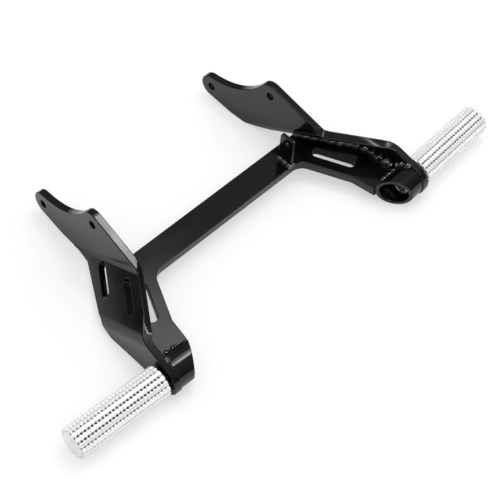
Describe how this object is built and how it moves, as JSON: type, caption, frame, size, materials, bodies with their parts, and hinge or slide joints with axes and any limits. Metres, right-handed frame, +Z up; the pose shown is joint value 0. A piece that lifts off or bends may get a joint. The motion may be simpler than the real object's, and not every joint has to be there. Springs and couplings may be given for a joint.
{
  "type": "rear sets footrest",
  "caption": "U-shaped plate joining two bent side plates with bolt holes in their ears, each carrying a serrated round footpeg on a short tube.",
  "frame": {"origin": "on the ground, below the middle of the bounding box", "axes": "+X along the pegs to the rider's side that carries the tab, +Y from the pegs towards the ears' tips, +Z up from the ground that it rests on"},
  "size_m": [0.5608, 0.2617, 0.0776],
  "materials": {
    "black_paint": "gloss black powder coat with soft rounded edges",
    "peg_alloy": "bright turned and notched, light satin sheen",
    "bolt_steel": "blackened steel, lightly oiled"
  },
  "bodies": {
    "root": {"cross_plate": "black_paint", "tab": "black_paint", "left_side_plate": "black_paint", "right_side_plate": "black_paint", "left_boss": "black_paint", "right_boss": "black_paint", "left_peg": "peg_alloy", "right_peg": "peg_alloy", "left_spacer": "black_paint", "right_spacer": "black_paint", "left_bolt": "bolt_steel", "right_bolt": "bolt_steel", "left_washer": "bolt_steel", "right_washer": "bolt_steel", "left_arm_weld": "black_paint", "right_arm_weld": "black_paint", "left_boss_weld": "black_paint", "right_boss_weld": "black_paint", "left_arm_end_weld": "black_paint", "right_arm_end_weld": "black_paint", "tab_weld": "black_paint"}
  },
  "joints": []
}
